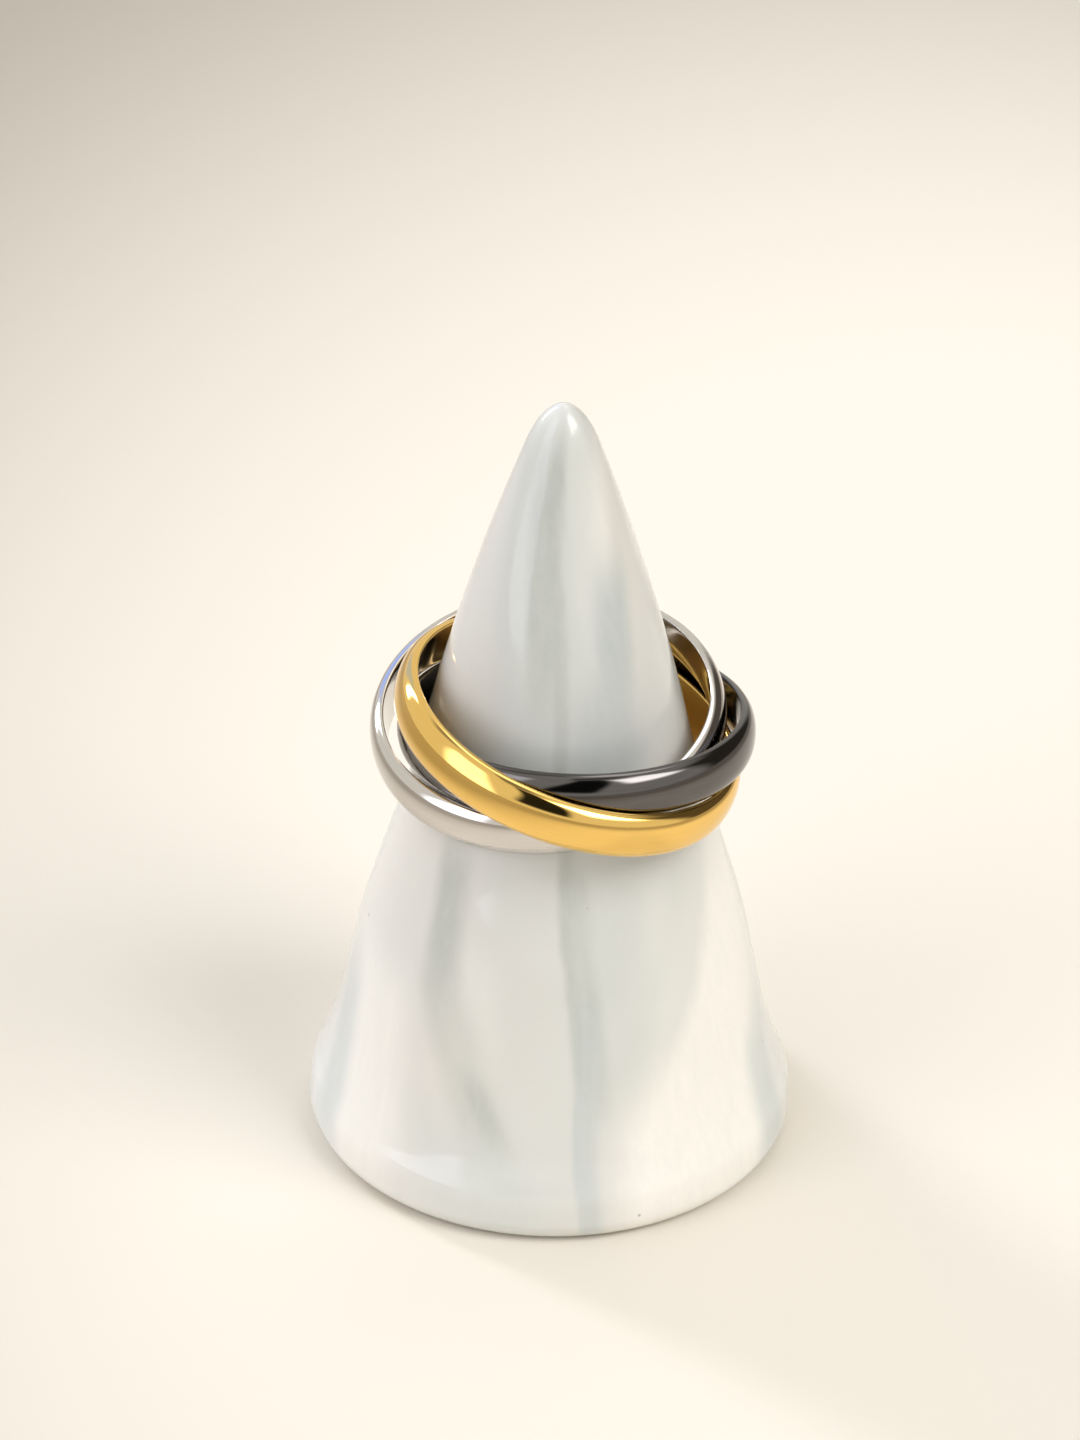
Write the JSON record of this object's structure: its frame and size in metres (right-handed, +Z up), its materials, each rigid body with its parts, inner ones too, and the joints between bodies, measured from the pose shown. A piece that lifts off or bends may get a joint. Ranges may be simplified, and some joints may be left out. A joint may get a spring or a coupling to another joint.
{
  "type": "three-band rolling ring on a ring cone",
  "caption": "Interlinked domed metal bands in silver, gold and black colours, free to turn through each other, lying round a marbled glazed ceramic ring cone.",
  "frame": {"origin": "centre of the cone's flat underside", "axes": "+Z up along the cone; -Y towards the side that the picture shows; +X to its right"},
  "size_m": [0.0296, 0.0296, 0.0488],
  "materials": {
    "marbled_glaze": "glossy clear glaze over white ceramic with blue-grey marbling",
    "silver_metal": "mirror polished, silver colour",
    "gold_metal": "mirror polished, yellow gold colour",
    "black_metal": "mirror polished, black gunmetal colour"
  },
  "bodies": {
    "cone_and_silver_band": {"ring_cone": "marbled_glaze", "silver_band": "silver_metal"},
    "gold_band": {"gold_band": "gold_metal"},
    "black_band": {"black_band": "black_metal"}
  },
  "joints": [
    {"name": "gold_band_spin", "type": "hinge", "parent": "cone_and_silver_band", "child": "gold_band", "pos_m": [0.00064, -0.00146, 0.02772], "axis": [0.2978, -0.0271, 0.9542], "continuous": true},
    {"name": "black_band_spin", "type": "hinge", "parent": "cone_and_silver_band", "child": "black_band", "pos_m": [0.00114, -0.00036, 0.0274], "axis": [-0.001, 0.1167, 0.9932], "continuous": true}
  ]
}
